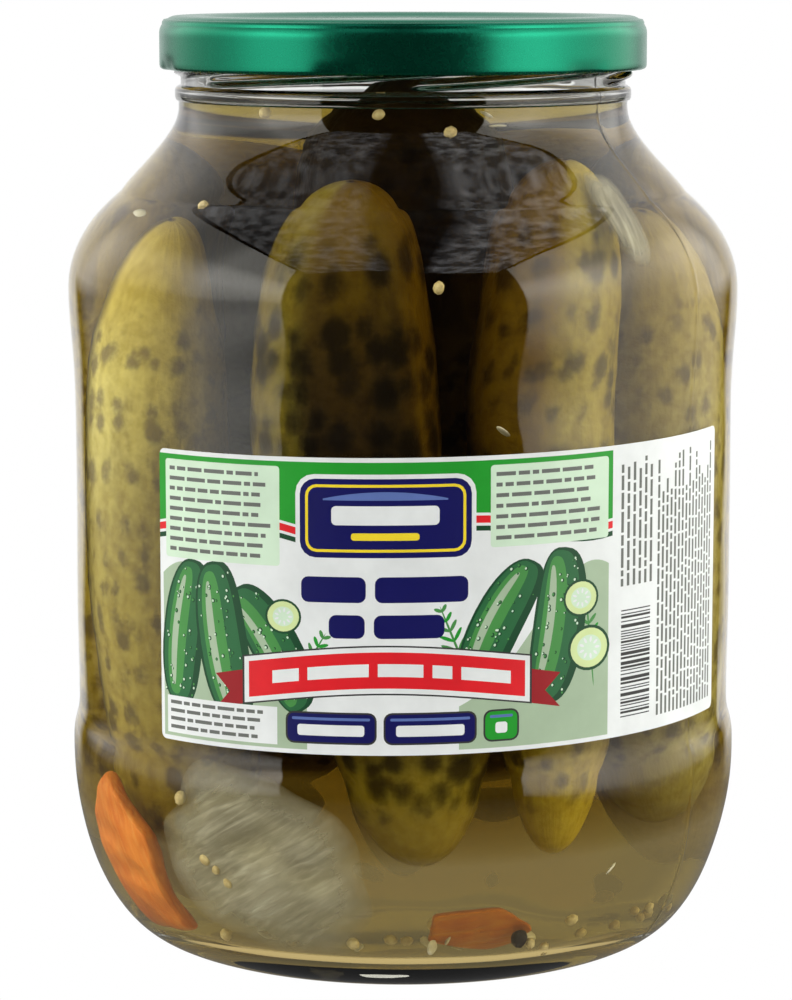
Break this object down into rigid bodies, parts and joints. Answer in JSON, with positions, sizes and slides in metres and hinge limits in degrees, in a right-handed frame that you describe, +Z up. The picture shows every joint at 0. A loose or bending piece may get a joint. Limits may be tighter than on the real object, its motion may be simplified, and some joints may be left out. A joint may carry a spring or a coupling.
{
  "type": "pickle jar",
  "caption": "Large round glass jar of whole pickled gherkins in brine, with a green twist-off metal lid and a wrap-round paper label.",
  "frame": {"origin": "middle of the foot ring, on the surface that the jar stands on", "axes": "+Z up through the lid, front of the label towards -Y"},
  "size_m": [0.1272, 0.1272, 0.175],
  "materials": {
    "glass": "clear gloss",
    "lid_lacquer": "satin lacquer",
    "label_paper": "satin coated print",
    "gherkin_skin": "wet skin",
    "carrot": "wet cut flesh",
    "onion": "wet translucent layer",
    "brine": "clear liquid",
    "spice": "wet seed"
  },
  "bodies": {
    "root": {"jar": "glass", "lid": "lid_lacquer", "label": "label_paper", "pickles": "gherkin_skin", "carrot_left": "carrot", "carrot_front": "carrot", "onion_scale": "onion", "onion_strip": "onion"}
  },
  "joints": []
}
